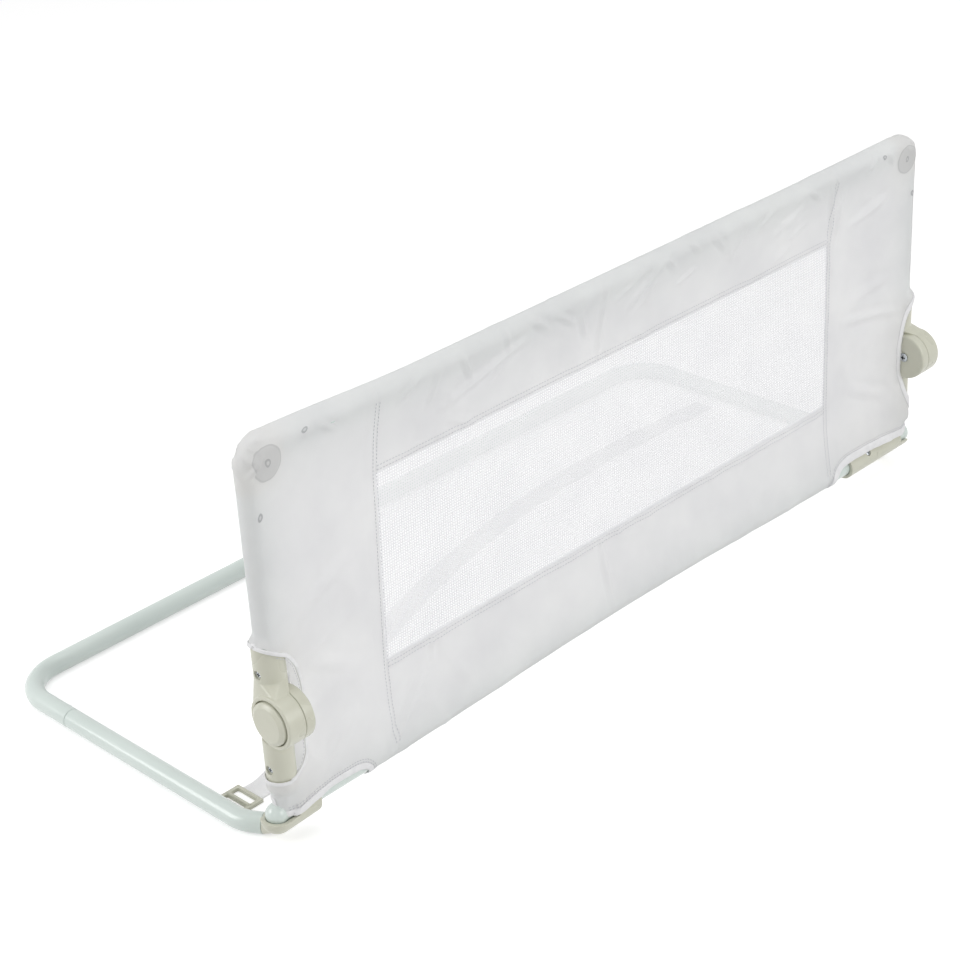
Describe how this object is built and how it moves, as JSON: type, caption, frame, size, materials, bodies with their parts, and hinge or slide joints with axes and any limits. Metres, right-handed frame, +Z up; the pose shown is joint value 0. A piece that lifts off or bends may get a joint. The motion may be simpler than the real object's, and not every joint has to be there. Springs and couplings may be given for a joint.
{
  "type": "folding bed guard rail",
  "caption": "Fabric-covered bed guard rail with a see-through mesh window, fold-down button hinges and a tubular base that slides under the mattress.",
  "frame": {"origin": "on the floor plane under the base tubes, at the middle of the outline seen from above", "axes": "+X along the rail's length to its right end, +Y towards the rear tube that lies under the mattress, +Z up"},
  "size_m": [0.9206, 0.4214, 0.3761],
  "materials": {
    "painted_steel": "gloss powder coat, pale green-grey",
    "ivory_plastic": "glossy moulded, ivory",
    "zinc_plated_steel": "bright zinc plate",
    "cover_fabric": "woven polyester, white",
    "window_mesh": "fine open polyester mesh, white",
    "webbing": "ribbed polypropylene webbing, white"
  },
  "bodies": {
    "base": {"rear_tube": "painted_steel", "left_base_arm": "painted_steel", "left_corner_fitting": "ivory_plastic", "left_stop_screw": "zinc_plated_steel", "left_snap_pin": "zinc_plated_steel", "right_base_arm": "painted_steel", "right_corner_fitting": "ivory_plastic", "right_stop_screw": "zinc_plated_steel", "right_snap_pin": "zinc_plated_steel", "anchor_strap": "webbing", "strap_buckle": "ivory_plastic"},
    "lower_frame": {"bottom_tube": "painted_steel", "left_stub_tube": "painted_steel", "left_lower_hinge_housing": "ivory_plastic", "left_lower_connector_screw": "zinc_plated_steel", "left_hinge_axle": "zinc_plated_steel", "left_axle_nut": "zinc_plated_steel", "left_lock_gear": "zinc_plated_steel", "left_lower_end_cover": "cover_fabric", "right_stub_tube": "painted_steel", "right_lower_hinge_housing": "ivory_plastic", "right_lower_connector_screw": "zinc_plated_steel", "right_hinge_axle": "zinc_plated_steel", "right_axle_nut": "zinc_plated_steel", "right_lock_gear": "zinc_plated_steel", "right_lower_end_cover": "cover_fabric", "cover_bottom_band": "cover_fabric", "lower_mesh": "window_mesh"},
    "upper_panel": {"top_tube": "painted_steel", "left_upright_tube": "painted_steel", "left_upper_hinge_housing": "ivory_plastic", "left_upper_connector_screw": "zinc_plated_steel", "left_button_spring": "zinc_plated_steel", "left_top_elbow": "ivory_plastic", "left_top_tube_rivet": "zinc_plated_steel", "left_upright_rivet": "zinc_plated_steel", "left_gusset_rivet": "zinc_plated_steel", "left_upper_end_cover": "cover_fabric", "right_upright_tube": "painted_steel", "right_upper_hinge_housing": "ivory_plastic", "right_upper_connector_screw": "zinc_plated_steel", "right_button_spring": "zinc_plated_steel", "right_top_elbow": "ivory_plastic", "right_top_tube_rivet": "zinc_plated_steel", "right_upright_rivet": "zinc_plated_steel", "right_gusset_rivet": "zinc_plated_steel", "right_upper_end_cover": "cover_fabric", "cover_top_band": "cover_fabric", "upper_mesh": "window_mesh"},
    "button_left": {"left_release_button": "ivory_plastic"},
    "button_right": {"right_release_button": "ivory_plastic"}
  },
  "joints": [
    {"name": "storage_fold", "type": "hinge", "parent": "base", "child": "lower_frame", "pos_m": [0, -0.17075, 0.0355], "axis": [1, 0, 0], "range_deg": [-90, 0]},
    {"name": "panel_fold", "type": "hinge", "parent": "lower_frame", "child": "upper_panel", "pos_m": [0, -0.18675, 0.1365], "axis": [1, 0, 0], "range_deg": [0, 175]},
    {"name": "left_button_press", "type": "slide", "parent": "upper_panel", "child": "button_left", "axis": [1, 0, 0], "range_m": [0, 0.004], "stiffness_N_per_m": 800, "springref_m": -0.002},
    {"name": "right_button_press", "type": "slide", "parent": "upper_panel", "child": "button_right", "axis": [-1, 0, 0], "range_m": [0, 0.004], "stiffness_N_per_m": 800, "springref_m": -0.002}
  ]
}
